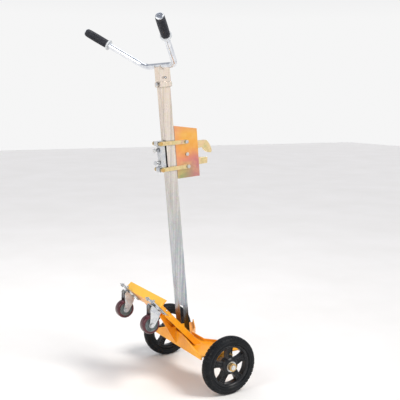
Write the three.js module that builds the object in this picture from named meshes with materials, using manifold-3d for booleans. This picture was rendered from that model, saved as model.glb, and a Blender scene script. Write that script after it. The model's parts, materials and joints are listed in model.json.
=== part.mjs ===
// Drum dolly: a four-wheeled truck that hooks a drum by its top rim and tips back on to two swivel casters.
// Millimetres, +Z up, +X towards the drum, +Y to the dolly's left. It stands upright on its main wheels.

import * as THREE from 'three';
import { mergeVertices } from 'three/addons/utils/BufferGeometryUtils.js';
import Module from 'manifold-3d';

const wasm = await Module();
wasm.setup();

// ---- driving dimensions ----

const GAP = 0.3;                       // clearance between pieces that touch
const WHEEL_R = 117;                   // main wheel
const WHEEL_W = 44;
const TRACK = 508;                     // between the main wheels' middle planes
const HINGE_Z = 120;                   // height of the tipped frame's origin, close to the main axle
const TILT = THREE.MathUtils.degToRad(46);   // how far the dolly tips back to stand on its casters
const LEAN = THREE.MathUtils.degToRad(5.6);  // the mast's backward lean while the dolly is upright
const MAST_FOOT_X = -42.6;             // where the mast's centre line would meet the floor
const MAST = 39;                       // square tube, outside
const MAST_WALL = 2.5;
const MAST_BOTTOM = 300;               // along the mast, from the floor
const MAST_TOP = 1268;
const BODY_SHIFT_X = 122.1;            // moves the middle of the whole dolly's length to X = 0

const SHEET = 5;                       // plate thickness of the painted base
const TONGUE_HALF = 75;                // half width of the channel that joins base and caster beam
const TONGUE_TOP = 10;                 // heights in the tipped frame, above the main axle
const TONGUE_BOTTOM = -14;
const BEAM_BACK = -352;                // caster beam, in the tipped frame
const BEAM_FRONT = -285;
const BEAM_HALF = 158;
const BEAM_BOTTOM = -14;
const BEAM_TOP = 22;

const TRAY_TOP = 150;                  // flat plate over the main axle
const TRAY_BACK = -98;
const TRAY_HALF = 205;

const CASTER_X = -345;                 // swivel axis, in the tipped frame
const CASTER_Y = 117;
const CASTER_TRAIL = 30;
const CASTER_R = 37.5;

const CLAMP_LOW = 884;                 // the clamp head's three cross bolts, along the mast
const CLAMP_MID = 934;
const CLAMP_HIGH = 984;
const CLAMP_REAR_HIGH = 988;             // the upper straps slope a little
const BOLT_U = 70;                     // their distance ahead of the mast's centre line
const PIN_U = -47;                     // rear cross bolts
const BOLT_R = 5;
const STRAP_Y = 20.4;                  // inner face of the clamp straps

const BAR_R = 11.1;                    // handlebar tube
const BAR_BEND = new THREE.Vector3(-177, 124, 1282);
const BAR_END = new THREE.Vector3(-348, 325, 1425);
const GRIP_LENGTH = 108;
const GRIP_R = 16.5;
const STUD_R = 3;                      // the four bolts of a caster plate, in the tipped frame
const BUTTON_R = 3.4;                  // snap button that pins the head on the mast
const HEAD_BOTTOM = 1206;              // head sleeve, along the mast
const HEAD_TOP = 1281;
const HEAD_HALF = 22.5;
const BUTTON_V = 1243;                 // heights of the snap button and the head bolt
const HEAD_BOLT_V = 1217;
const BLOCK_HALF = 15;                 // half width of the block behind the mast
const SCREW_V = [912, 962];            // heights of the two clamp screws
const COLLAR_LENGTH = 7;
const RIM_R = 84;                      // outside of the moulded wheel centre, under the tyre
const HUB_R = 30;                      // main wheel hub
const JOURNAL_R = 10;                  // axle where the wheels turn
const STEM_R = 50;                     // the valve stem's distance from the axle
const HUB_HALF = 20;
const FORK_HALF = 20;
const CRADLE_TOP = 162;                // upright edges of the bent plate
const CRADLE_BOTTOM = 138;
const JAW_HALF = 11;                   // both jaws are thick plates between the housing's cheeks
// Plan line of the bent plate that the drum leans into, from the middle out to one side.
const CRADLE_LINE = [[12, 50], [52, 92], [104, TRAY_HALF - 6]];
const PIN_HOLE_R = 6.4;                // swivel hole of the caster plate and fork

// ---- materials ----

const finish = (color, roughness, metalness) =>
  new THREE.MeshStandardMaterial({ color, roughness, metalness });
const paint = finish(0xf29a12, 0.42, 0.0);
const galvanised = finish(0xb9b8b2, 0.35, 0.9);
const chrome = finish(0xd8dadd, 0.12, 1.0);
const zinc = finish(0xc9ccd0, 0.25, 0.95);
const yellowZinc = finish(0xd9a05a, 0.3, 0.9);
const paleZinc = finish(0xd8c98a, 0.3, 0.9);
const blackRubber = finish(0x17181a, 0.75, 0.0);
const blackPlastic = finish(0x1d1f23, 0.45, 0.0);
const maroon = finish(0x5b1420, 0.35, 0.0);
const greyPlastic = finish(0x3f4a4c, 0.4, 0.0);
const brass = finish(0xc9a24a, 0.3, 0.9);

// ---- shape helpers ----

const dolly = new THREE.Group();
dolly.name = 'drum_dolly';
const upright = new THREE.Group();     // floor frame, X = 0 over the main axle
upright.position.x = BODY_SHIFT_X;
dolly.add(upright);
const tipped = new THREE.Group();      // base frame: level with the floor once the dolly is tipped back
tipped.position.z = HINGE_Z;
tipped.rotation.y = TILT;
upright.add(tipped);
const mast = new THREE.Group();        // mast frame: Z runs along the mast
mast.position.x = MAST_FOOT_X;
mast.rotation.y = -LEAN;
upright.add(mast);

function solid(geometry) {
  const bare = geometry.index ? geometry.clone() : geometry;
  bare.deleteAttribute('normal');
  bare.deleteAttribute('uv');
  const merged = mergeVertices(bare, 1e-4);
  return new wasm.Manifold(new wasm.Mesh({
    numProp: 3,
    vertProperties: new Float32Array(merged.attributes.position.array),
    triVerts: new Uint32Array(merged.index.array),
  }));
}

function toGeometry(manifold) {
  const mesh = manifold.getMesh();
  const geometry = new THREE.BufferGeometry();
  geometry.setAttribute('position', new THREE.BufferAttribute(new Float32Array(mesh.vertProperties), 3));
  geometry.setIndex(new THREE.BufferAttribute(new Uint32Array(mesh.triVerts), 1));
  return geometry;
}

function place(parent, name, shape, material) {
  const geometry = shape.isBufferGeometry ? shape : toGeometry(shape);
  const flat = geometry.index ? geometry.toNonIndexed() : geometry;
  flat.computeVertexNormals();
  const mesh = new THREE.Mesh(flat, material);
  mesh.name = name;
  parent.add(mesh);
  return mesh;
}

const union = (...parts) => parts.reduce((whole, part) => whole.add(part));
const cut = (body, ...tools) => tools.reduce((whole, tool) => whole.subtract(tool), body);

// A box from its lowest and highest corners.
function block(low, high) {
  const geometry = new THREE.BoxGeometry(high[0] - low[0], high[1] - low[1], high[2] - low[2]);
  geometry.translate((low[0] + high[0]) / 2, (low[1] + high[1]) / 2, (low[2] + high[2]) / 2);
  return solid(geometry);
}

// Extrudes a shape, or a list of its corner points, from zero to depth.
function extrude(outline, depth) {
  const corners = () => outline.map(([a, b]) => new THREE.Vector2(a, b));
  const shape = outline instanceof THREE.Shape ? outline : new THREE.Shape(corners());
  return new THREE.ExtrudeGeometry(shape, { depth, bevelEnabled: false, curveSegments: 6 });
}

// An outline in X and Z, extruded along Y from y0 to y1.
function sidePlate(outline, y0, y1) {
  const geometry = extrude(outline, y1 - y0);
  geometry.rotateX(Math.PI / 2);
  geometry.translate(0, y1, 0);
  return solid(geometry);
}

// An outline in X and Y, extruded along Z from z0 to z1.
function flatPlate(outline, z0, z1) {
  const geometry = extrude(outline, z1 - z0);
  geometry.translate(0, 0, z0);
  return solid(geometry);
}

// A solid of revolution about Y from closed [radius, y] points, moved to x and z.
function turned(profile, x = 0, z = 0, segments = 24) {
  const points = profile.map(([r, y]) => new THREE.Vector2(r, y));
  points.push(points[0].clone());
  const geometry = new THREE.LatheGeometry(points, segments);
  geometry.translate(x, 0, z);
  return solid(geometry);
}

const rod = (r, y0, y1, x, z, segments = 16) =>
  turned([[0, y0], [r, y0], [r, y1], [0, y1]], x, z, segments);
const ring = (r0, r1, y0, y1, x, z, segments = 28) =>
  turned([[r0, y0], [r1, y0], [r1, y1], [r0, y1]], x, z, segments);
const hex = (flats, y0, y1, x, z) => rod(flats / Math.sqrt(3), y0, y1, x, z, 6);

// A solid of revolution about Z from closed [radius, z] points.
function spun(profile, x, y, segments = 24) {
  const shape = turned(profile, 0, 0, segments);
  return shape.rotate([90, 0, 0]).translate([x, y, 0]);
}

// A cylinder along Z.
const post = (r, z0, z1, x, y, segments = 24) => spun([[0, z0], [r, z0], [r, z1], [0, z1]], x, y, segments);

// Turns a solid made along Y so that it lies along X.
const alongX = (shape) => shape.rotate([0, 0, -90]);

// A strap outline in X and Z with round ends centred on x0 and x1.
function roundEnded(x0, x1, z, radius) {
  const shape = new THREE.Shape();
  shape.moveTo(x0, z - radius);
  shape.lineTo(x1, z - radius);
  shape.absarc(x1, z, radius, -Math.PI / 2, Math.PI / 2, false);
  shape.lineTo(x0, z + radius);
  shape.absarc(x0, z, radius, Math.PI / 2, Math.PI * 1.5, false);
  return shape;
}

// A point of the upright frame, given in the tipped frame, and the same in the mast's frame.
function fromTipped(x, z) {
  return [x * Math.cos(TILT) + z * Math.sin(TILT), HINGE_Z - x * Math.sin(TILT) + z * Math.cos(TILT)];
}
function toMast([x, z]) {
  const ahead = x - MAST_FOOT_X;
  return [ahead * Math.cos(LEAN) + z * Math.sin(LEAN), -ahead * Math.sin(LEAN) + z * Math.cos(LEAN)];
}

// ---- painted base ----

// Where the tray's top plane cuts the tipped frame at a given height.
const trayLine = (z) => (z * Math.cos(TILT) - (TRAY_TOP + GAP - HINGE_Z)) / Math.sin(TILT);

function casterBolts(y) {
  return [[-36, -23], [-36, 23], [36, -23], [36, 23]].map(([dx, dy]) => [CASTER_X + dx, y + dy]);
}

// A channel, open below, that runs from the beam's upright wall down to the tray.
function tongue() {
  const back = BEAM_BACK + SHEET + GAP;
  const side = [[back, TONGUE_BOTTOM], [trayLine(TONGUE_BOTTOM), TONGUE_BOTTOM],
    [trayLine(TONGUE_TOP), TONGUE_TOP], [back, TONGUE_TOP]];
  const outer = sidePlate(side, -TONGUE_HALF, TONGUE_HALF);
  const inside = block([back - 10, -TONGUE_HALF + SHEET, TONGUE_BOTTOM - 20],
    [0, TONGUE_HALF - SHEET, TONGUE_TOP - SHEET]);
  const flange = block([BEAM_BACK, -BEAM_HALF, BEAM_BOTTOM - 1],
    [BEAM_FRONT + GAP, BEAM_HALF, BEAM_BOTTOM + SHEET + GAP]);
  return cut(outer, inside, flange);
}

// An angle with a flat flange over the casters and an upright wall at the back.
function casterBeam() {
  const [back, front, low] = [BEAM_BACK, BEAM_FRONT, BEAM_BOTTOM];
  const section = [[back, low], [front, low], [front, low + SHEET], [back + SHEET + 4, low + SHEET],
    [back + SHEET, low + SHEET + 4], [back + SHEET, BEAM_TOP], [back, BEAM_TOP]];
  const angle = sidePlate(section, -BEAM_HALF, BEAM_HALF);
  // Room for the fillet where the tongue passes.
  const reliefHalf = TONGUE_HALF + 1;
  const relief = block([back + SHEET, -reliefHalf, low + SHEET], [back + 30, reliefHalf, BEAM_TOP]);
  const holes = [-1, 1].flatMap((side) => casterBolts(side * CASTER_Y).map(([x, y]) =>
    post(STUD_R + GAP, low - 9, low + 9, x, y, 12)));
  return cut(angle, relief, ...holes);
}

function cradlePlan() {
  const front = [...CRADLE_LINE.map(([x, y]) => [x, -y]).reverse(), ...CRADLE_LINE];
  const back = front.map(([x, y]) => [x - SHEET, y]).reverse();
  return [...front, ...back];
}

function baseTray() {
  const edge = CRADLE_LINE.map(([x, y]) => [x - SHEET - GAP, y]);
  const plan = [[TRAY_BACK, -TRAY_HALF + 6], ...edge.map(([x, y]) => [x, -y]).reverse(), ...edge,
    [TRAY_BACK, TRAY_HALF - 6]];
  const top = flatPlate(plan, TRAY_TOP - SHEET, TRAY_TOP);
  const outline = [[-TRAY_HALF, 138], [TRAY_HALF, 138], [TRAY_HALF, 152], [TONGUE_HALF, 191],
    [50, 200], [-50, 200], [-TONGUE_HALF, 191], [-TRAY_HALF, 152]];
  const upstand = sidePlate(outline, 0, SHEET).rotate([0, 0, 90]).translate([TRAY_BACK + SHEET, 0, 0]);
  return union(top, upstand);
}

// A web inside and under the tongue that stiffens it against the tray's upstand.
function gusset() {
  const roof = TONGUE_TOP - SHEET - GAP;
  const face = TRAY_BACK - GAP;
  const corner = fromTipped((face - roof * Math.sin(TILT)) / Math.cos(TILT), roof);
  const web = sidePlate([fromTipped(-229, -20), [face, 144], corner, fromTipped(-218, roof)], -4, 4);
  const window = sidePlate([fromTipped(-197, -19), fromTipped(-150, -19), fromTipped(-138, -2),
    fromTipped(-202, -6)], -10, 10);
  return cut(web, window);
}

function axleBracket(side) {
  const shape = new THREE.Shape();
  shape.moveTo(-46, TRAY_TOP - SHEET - GAP);
  shape.lineTo(-22, WHEEL_R - 6);
  shape.absarc(0, WHEEL_R, 24, Math.PI * 1.12, Math.PI * 1.88, false);
  shape.lineTo(34, TRAY_TOP - SHEET - GAP);
  const plate = sidePlate(shape, 188, 196);
  const bored = cut(plate, rod(14 + GAP, 180, 204, 0, WHEEL_R, 32));
  return side > 0 ? bored : bored.mirror([0, 1, 0]);
}

// How far along the mast the tongue's top plane lies, at a distance ahead of the mast's centre line.
function tongueTop(u) {
  const [ua, va] = toMast(fromTipped(-150, TONGUE_TOP + GAP));
  const [ub, vb] = toMast(fromTipped(-50, TONGUE_TOP + GAP));
  return va + (vb - va) * (u - ua) / (ub - ua);
}

place(tipped, 'frame_tongue', tongue(), paint);
place(tipped, 'caster_beam', casterBeam(), paint);
place(upright, 'base_tray', baseTray(), paint);
place(upright, 'frame_gusset', gusset(), paint);
place(upright, 'drum_cradle', flatPlate(cradlePlan(), CRADLE_BOTTOM, CRADLE_TOP), paint);

// ---- mast and head ----

function mastTube() {
  const r = MAST / 2;
  const inner = r - MAST_WALL;
  const outline = [[-r, tongueTop(-r)], [r, tongueTop(r)], [r, MAST_TOP], [-r, MAST_TOP]];
  const outer = sidePlate(outline, -r, r);
  // The side walls stop short on a slant. The front and rear walls run on to the tongue.
  const opening = [[-inner, 0], [inner, 0], [inner, MAST_BOTTOM], [-inner, MAST_BOTTOM + 16]];
  const foot = sidePlate(opening, -r - 1, r + 1);
  const bore = block([-inner, -inner, 0], [inner, inner, MAST_TOP + 10]);
  const headHole = alongX(rod(BOLT_R + GAP, -40, 40, 0, 0)).translate([0, 0, HEAD_BOLT_V]);
  const buttonHole = rod(BUTTON_R + GAP, -40, 0, 0, BUTTON_V);
  return cut(outer, bore, foot, headHole, buttonHole);
}

function headSleeve() {
  const bore = MAST / 2 + 0.5;
  const outer = block([-HEAD_HALF, -HEAD_HALF, HEAD_BOTTOM], [HEAD_HALF, HEAD_HALF, HEAD_TOP + 8]);
  const band = block([-HEAD_HALF - 2.5, -HEAD_HALF - 2.5, HEAD_BOTTOM + 2],
    [HEAD_HALF + 2.5, HEAD_HALF + 2.5, HEAD_BOTTOM + 20]);
  const inside = block([-bore, -bore, HEAD_BOTTOM - 5], [bore, bore, HEAD_TOP - 8]);
  const [u, v] = toMast([BAR_BEND.x, BAR_BEND.z]);
  const saddle = rod(BAR_R + GAP, -60, 60, u, v, 32);
  const slope = sidePlate([[u, v - 4], [60, HEAD_TOP - 8], [60, HEAD_TOP + 60], [-60, HEAD_TOP + 60],
    [-60, HEAD_TOP + 1], [u - BAR_R, v - 4]], -60, 60);
  const cross = alongX(rod(BOLT_R + GAP, -60, 60, 0, 0)).translate([0, 0, HEAD_BOLT_V]);
  const slot = sidePlate(roundEnded(-12, 1, BUTTON_V, 4.2), -60, 0);
  return cut(union(outer, band), inside, saddle, slope, cross, slot);
}

// A bolt along Y with a hex head at y0's side and a nut at y1's side, both outside the span.
function crossBolt(span, x, z, r = BOLT_R, flats = 16) {
  const head = hex(flats, -span - 6.5, -span, x, z);
  const nut = hex(flats, span, span + 8, x, z);
  return union(rod(r, -span - 3, span + 12, x, z), head, nut);
}

place(mast, 'mast_tube', mastTube(), galvanised);
place(mast, 'head_sleeve', headSleeve(), galvanised);
// The snap button that pins the head on the mast, with a collar that stops it inside the tube.
place(mast, 'head_button', turned([[0, -HEAD_HALF - 1.5], [BUTTON_R - 0.8, -HEAD_HALF - 1.5],
  [BUTTON_R, -HEAD_HALF - 0.5], [BUTTON_R, -MAST / 2 + MAST_WALL + GAP], [5, -MAST / 2 + MAST_WALL + GAP],
  [5, -MAST / 2 + MAST_WALL + 2.5], [0, -MAST / 2 + MAST_WALL + 2.5]], 0, BUTTON_V, 16), zinc);
place(mast, 'head_bolt',
  alongX(crossBolt(HEAD_HALF + 2.5 + GAP, 0, 0)).translate([0, 0, HEAD_BOLT_V]), zinc);

// ---- handlebar ----

function handlebar() {
  const mirrored = (p) => new THREE.Vector3(p.x, -p.y, p.z);
  const reach = BAR_END.clone().sub(BAR_BEND).normalize();
  const radius = 34;
  const start = BAR_BEND.clone().setY(BAR_BEND.y - radius);
  const leave = BAR_BEND.clone().addScaledVector(reach, radius);
  const path = new THREE.CurvePath();
  path.add(new THREE.LineCurve3(BAR_END, leave));
  path.add(new THREE.QuadraticBezierCurve3(leave, BAR_BEND, start));
  path.add(new THREE.LineCurve3(start, mirrored(start)));
  path.add(new THREE.QuadraticBezierCurve3(mirrored(start), mirrored(BAR_BEND), mirrored(leave)));
  path.add(new THREE.LineCurve3(mirrored(leave), mirrored(BAR_END)));
  const section = new THREE.Shape();
  section.absarc(0, 0, BAR_R, 0, Math.PI * 2, false);
  return new THREE.ExtrudeGeometry(section, { steps: 56, curveSegments: 8, extrudePath: path });
}

// A solid of revolution made along Y, laid along the bar's arm with its start at a distance from the bend.
function onArm(profile, distance, side) {
  const reach = BAR_END.clone().sub(BAR_BEND).normalize();
  const points = profile.map(([r, y]) => new THREE.Vector2(r, y));
  points.push(points[0].clone());
  const geometry = new THREE.LatheGeometry(points, 24);
  geometry.applyQuaternion(new THREE.Quaternion().setFromUnitVectors(new THREE.Vector3(0, 1, 0), reach));
  const at = BAR_BEND.clone().addScaledVector(reach, distance);
  geometry.translate(at.x, at.y, at.z);
  const shape = solid(geometry);
  return side > 0 ? shape : shape.mirror([0, 1, 0]);
}

const armLength = BAR_BEND.distanceTo(BAR_END);
const collarProfile = [[BAR_R + GAP, 0], [20.5, 0], [21.8, 1.5], [21.8, 4.5], [20.5, 6],
  [17, COLLAR_LENGTH], [BAR_R + GAP, COLLAR_LENGTH]];
const gripProfile = [[BAR_R + GAP, 0], [GRIP_R - 0.6, 0], [GRIP_R, 3], [GRIP_R + 0.8, 55],
  [GRIP_R, GRIP_LENGTH - 5], [GRIP_R - 1.5, GRIP_LENGTH], [BAR_R + GAP, GRIP_LENGTH]];
const plugProfile = [[0, 0], [GRIP_R - 2, 0], [GRIP_R - 2, 2], [GRIP_R - 4, 3.6], [0, 4.2]];

place(upright, 'handlebar', handlebar(), chrome);
for (const [side, word] of [[1, 'left'], [-1, 'right']]) {
  place(upright, `grip_${word}`, onArm(gripProfile, armLength - GRIP_LENGTH, side), blackRubber);
  place(upright, `grip_collar_${word}`,
    onArm(collarProfile, armLength - GRIP_LENGTH - COLLAR_LENGTH - GAP, side), greyPlastic);
  place(upright, `bar_plug_${word}`, onArm(plugProfile, armLength + GAP, side), zinc);
}

// ---- clamp head ----

function clampHousing() {
  const back = MAST / 2 + 1.5;
  const side = [[back, 840], [123, 838.6], [125, 1032], [back, 1052.6]];
  const outer = sidePlate(side, -20, 20);
  const inside = block([back + SHEET, -15, 800], [200, 15, 1100]);
  const holes = [CLAMP_LOW, CLAMP_MID, CLAMP_HIGH].map((v) => rod(BOLT_R + GAP, -40, 40, BOLT_U, v));
  return cut(outer, inside, ...holes);
}

function strap(vRear, vFront, side) {
  const length = Math.hypot(BOLT_U - PIN_U, vFront - vRear);
  const slope = THREE.MathUtils.radToDeg(Math.atan2(vFront - vRear, BOLT_U - PIN_U));
  const bar = sidePlate(roundEnded(0, length, 0, 8), STRAP_Y, STRAP_Y + 4);
  const turnedBar = bar.rotate([0, -slope, 0]).translate([PIN_U, 0, vRear]);
  const rear = rod(BOLT_R + GAP, STRAP_Y - 5, STRAP_Y + 9, PIN_U, vRear);
  const front = rod(BOLT_R + GAP, STRAP_Y - 5, STRAP_Y + 9, BOLT_U, vFront);
  const drilled = cut(turnedBar, rear, front);
  return side > 0 ? drilled : drilled.mirror([0, 1, 0]);
}

function clampBlock() {
  const front = -MAST / 2 - 5;
  const [low, high] = [CLAMP_LOW, CLAMP_REAR_HIGH];
  const outline = [[front, low - 9], [front, high + 9], [-56, high + 9], [-56, high - 9], [-45, high - 13],
    [-45, low + 13], [-56, low + 9], [-56, low - 9]];
  const pins = [low, high].map((v) => rod(BOLT_R + GAP, -40, 40, PIN_U, v));
  const screws = SCREW_V.map((v) => alongX(rod(BOLT_R + GAP, -40, 40, 0, 0)).translate([-40, 0, v]));
  return cut(sidePlate(outline, -BLOCK_HALF, BLOCK_HALF), ...pins, ...screws);
}

function clampScrew(v) {
  const parts = [rod(BOLT_R, -68, -25.5, 0, 0), hex(14, -68, -61, 0, 0), hex(14, -53, -45.5, 0, 0)];
  return alongX(union(...parts)).translate([0, 0, v]);
}

function upperJaw() {
  const shape = new THREE.Shape();
  shape.moveTo(BOLT_U - 13, CLAMP_MID);
  shape.lineTo(62, 960);
  shape.lineTo(86, 967);
  shape.lineTo(108, 981);
  shape.lineTo(172, 979);
  shape.quadraticCurveTo(182, 968, 187, 957);
  shape.quadraticCurveTo(193, 944, 194, 932);
  shape.lineTo(190, 926);
  shape.lineTo(184, 926);
  shape.quadraticCurveTo(168, 931, 160, 948);
  shape.lineTo(150, 952);
  shape.lineTo(118, 950);
  shape.lineTo(84, 928);
  shape.absarc(BOLT_U, CLAMP_MID, 13, -0.4, -Math.PI, true);
  return cut(sidePlate(shape, -JAW_HALF, JAW_HALF), rod(BOLT_R + GAP, -40, 40, BOLT_U, CLAMP_MID));
}

function lowerJaw() {
  const shape = new THREE.Shape();
  shape.moveTo(BOLT_U, CLAMP_LOW - 12);
  shape.lineTo(132, 884);
  shape.lineTo(169, 884);
  shape.lineTo(172, 908);
  shape.lineTo(128, 912);
  shape.lineTo(98, 905);
  shape.lineTo(80, 896);
  shape.absarc(BOLT_U, CLAMP_LOW, 12, Math.PI / 2, Math.PI * 1.5, false);
  return cut(sidePlate(shape, -JAW_HALF, JAW_HALF), rod(BOLT_R + GAP, -40, 40, BOLT_U, CLAMP_LOW));
}

// A torsion spring beside the jaw's hub, wound round the pivot bolt.
function jawSpring() {
  const turns = 1.6;
  const points = [];
  for (let i = 0; i <= 28; i += 1) {
    const t = (i / 28) * turns * Math.PI * 2;
    const along = JAW_HALF + 1 + 1.9 * (i / 28);
    points.push(new THREE.Vector3(BOLT_U + 8 * Math.cos(t), along, CLAMP_MID + 8 * Math.sin(t)));
  }
  const wire = new THREE.Shape();
  wire.absarc(0, 0, 0.6, 0, Math.PI * 2, false);
  const path = new THREE.CatmullRomCurve3(points);
  return new THREE.ExtrudeGeometry(wire, { steps: 40, curveSegments: 3, extrudePath: path });
}

place(mast, 'clamp_housing', clampHousing(), yellowZinc);
const strapLevels = [['upper', CLAMP_REAR_HIGH, CLAMP_HIGH], ['lower', CLAMP_LOW, CLAMP_LOW]];
for (const [level, vRear, vFront] of strapLevels) {
  for (const [side, word] of [[1, 'left'], [-1, 'right']]) {
    place(mast, `strap_${level}_${word}`, strap(vRear, vFront, side), paleZinc);
  }
  const span = STRAP_Y + 4 + GAP;
  place(mast, `clamp_bolt_front_${level}`, crossBolt(span, BOLT_U, vFront, BOLT_R, 13), zinc);
  place(mast, `clamp_bolt_rear_${level}`, crossBolt(span, PIN_U, vRear, BOLT_R, 15), yellowZinc);
}
place(mast, 'clamp_block', clampBlock(), zinc);
const padBack = -MAST / 2 - 4.7;
place(mast, 'clamp_pad', block([padBack, -13, 896], [-MAST / 2 - 0.5, 13, 976]), blackRubber);
place(mast, 'clamp_screw_upper', clampScrew(SCREW_V[1]), zinc);
place(mast, 'clamp_screw_lower', clampScrew(SCREW_V[0]), zinc);
place(mast, 'jaw_pivot_bolt', crossBolt(20 + GAP, BOLT_U, CLAMP_MID, BOLT_R, 13), zinc);
place(mast, 'jaw_upper', upperJaw(), paleZinc);
place(mast, 'jaw_lower', lowerJaw(), paleZinc);
place(mast, 'jaw_spring', jawSpring(), zinc);

// ---- main wheels ----

function tyre(y) {
  const w = WHEEL_W / 2;
  const side = [[WHEEL_R, w - 15], [WHEEL_R - 1.5, w - 9], [WHEEL_R - 6, w - 3.5], [WHEEL_R - 14, w],
    [RIM_R + 8, w - 0.5], [RIM_R + GAP, w - 5]];
  const profile = [...side.map(([r, h]) => [r, -h]).reverse(), ...side];
  return turned(profile, 0, WHEEL_R, 52).translate([0, y, 0]);
}

function wheelCentre(y) {
  const barrel = turned([[77, -18], [RIM_R, -18], [RIM_R, 18], [77, 18], [72, 12], [72, -12]], 0, 0, 45);
  const hub = turned([[21.3, -HUB_HALF], [HUB_R - 4, -HUB_HALF], [HUB_R + 4, -14], [HUB_R + 4, 14],
    [HUB_R - 4, HUB_HALF], [21.3, HUB_HALF]], 0, 0, 30);
  const spokes = [];
  for (let i = 0; i < 5; i += 1) {
    const arm = flatPlate([[-13, HUB_R], [13, HUB_R], [11, 52], [17, 76], [-17, 76], [-11, 52]], -13, 13);
    const hollow = [[-8, HUB_R + 8], [8, HUB_R + 8], [7, 52], [11, 69], [-11, 69], [-7, 52]];
    const pocket = flatPlate(hollow, 9, 20);
    const spoke = cut(arm, pocket, pocket.mirror([0, 0, 1])).rotate([90, 0, 0]);
    spokes.push(spoke.rotate([0, i * 72 - 3, 0]));
  }
  return union(barrel, hub, ...spokes).translate([0, y, WHEEL_R]);
}

for (const [side, word] of [[1, 'left'], [-1, 'right']]) {
  const y = side * TRACK / 2;
  const outward = (shape) => (side > 0 ? shape : shape.mirror([0, 1, 0]));
  const outer = TRACK / 2 + HUB_HALF;
  place(upright, `axle_bracket_${word}`, axleBracket(side), paint);
  place(upright, `tyre_${word}`, tyre(y), blackRubber);
  place(upright, `wheel_centre_${word}`, wheelCentre(y), blackPlastic);
  place(upright, `wheel_bearing_${word}`,
    ring(JOURNAL_R + 0.2, 21, y - HUB_HALF, y + HUB_HALF, 0, WHEEL_R), zinc);
  const stem = union(rod(2.8, TRACK / 2 + 10, TRACK / 2 + 26, 0, WHEEL_R + STEM_R, 12),
    rod(4, TRACK / 2 + 9.3, TRACK / 2 + 13, 0, WHEEL_R + STEM_R, 12));
  place(upright, `valve_stem_${word}`, outward(stem), brass);
  place(upright, `axle_washer_${word}`,
    outward(ring(JOURNAL_R + GAP, 21, outer + 0.6, outer + 3.4, 0, WHEEL_R)), zinc);
  const nut = cut(hex(30, outer + 3.8, outer + 15, 0, WHEEL_R),
    rod(JOURNAL_R + GAP, outer, outer + 20, 0, WHEEL_R));
  place(upright, `axle_nut_${word}`, outward(nut), yellowZinc);
}
const axleEnd = TRACK / 2 + HUB_HALF + 18;
const shoulder = TRACK / 2 - HUB_HALF - 0.6;
place(upright, 'main_axle', turned([[0, -axleEnd], [JOURNAL_R - 1.5, -axleEnd], [JOURNAL_R, -axleEnd + 1.5],
  [JOURNAL_R, -shoulder], [14, -shoulder], [14, shoulder], [JOURNAL_R, shoulder],
  [JOURNAL_R, axleEnd - 1.5], [JOURNAL_R - 1.5, axleEnd], [0, axleEnd]], 0, WHEEL_R), zinc);

// ---- casters, in the tipped frame ----

const HUB_Z = CASTER_R - HINGE_Z;      // caster wheel centre
const PLATE_TOP = BEAM_BOTTOM - GAP;
const PLATE_LOW = PLATE_TOP - 4.5;
const FORK_TOP = PLATE_LOW - 6.8;

function casterPlate(y) {
  const [halfX, halfY, corner] = [47, 32, 7];
  const shape = new THREE.Shape();
  shape.absarc(CASTER_X + halfX - corner, y + halfY - corner, corner, 0, Math.PI / 2, false);
  shape.absarc(CASTER_X - halfX + corner, y + halfY - corner, corner, Math.PI / 2, Math.PI, false);
  shape.absarc(CASTER_X - halfX + corner, y - halfY + corner, corner, Math.PI, Math.PI * 1.5, false);
  shape.absarc(CASTER_X + halfX - corner, y - halfY + corner, corner, -Math.PI / 2, 0, false);
  const race = spun([[0, PLATE_LOW - 6], [20, PLATE_LOW - 6], [25, PLATE_LOW + 1], [0, PLATE_LOW + 1]],
    CASTER_X, y);
  const pinHole = post(PIN_HOLE_R, PLATE_LOW - 20, PLATE_TOP + 9, CASTER_X, y);
  // The front pair of bolts clamps the beam's flange, the rear pair stands clear behind it.
  const bolts = casterBolts(y).map(([bx, by]) => {
    const seat = bx > CASTER_X ? BEAM_BOTTOM + SHEET + GAP : PLATE_TOP - 0.5;
    const nut = post(5.8, seat, seat + 5, bx, by, 6);
    const head = post(5.8, PLATE_LOW - 3.5, PLATE_LOW + 1, bx, by, 6);
    const shank = post(STUD_R, PLATE_LOW, seat + 8, bx, by, 12);
    return union(nut, head, shank);
  });
  return cut(union(flatPlate(shape, PLATE_LOW, PLATE_TOP), race, ...bolts), pinHole);
}

function casterFork(y) {
  const side = new THREE.Shape();
  const hubX = CASTER_X + CASTER_TRAIL;
  side.moveTo(CASTER_X - 24, FORK_TOP);
  side.lineTo(CASTER_X - 24, FORK_TOP - 12);
  side.quadraticCurveTo(CASTER_X + 2, HUB_Z + 22, hubX - 11, HUB_Z - 3);
  side.absarc(hubX, HUB_Z, 11.5, Math.PI * 1.08, Math.PI * 2.05, false);
  side.quadraticCurveTo(hubX + 6, FORK_TOP - 22, CASTER_X + 26, FORK_TOP - 6);
  side.lineTo(CASTER_X + 26, FORK_TOP);
  const outer = sidePlate(side, y - FORK_HALF, y + FORK_HALF);
  const inside = block([CASTER_X - 60, y - FORK_HALF + 3, HUB_Z - 30],
    [hubX + 60, y + FORK_HALF - 3, FORK_TOP - 3.5]);
  const pinHole = post(PIN_HOLE_R, FORK_TOP - 40, FORK_TOP + 9, CASTER_X, y);
  const axleHole = rod(4.8 + GAP, y - 60, y + 60, hubX, HUB_Z);
  return cut(outer, inside, pinHole, axleHole);
}

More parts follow.
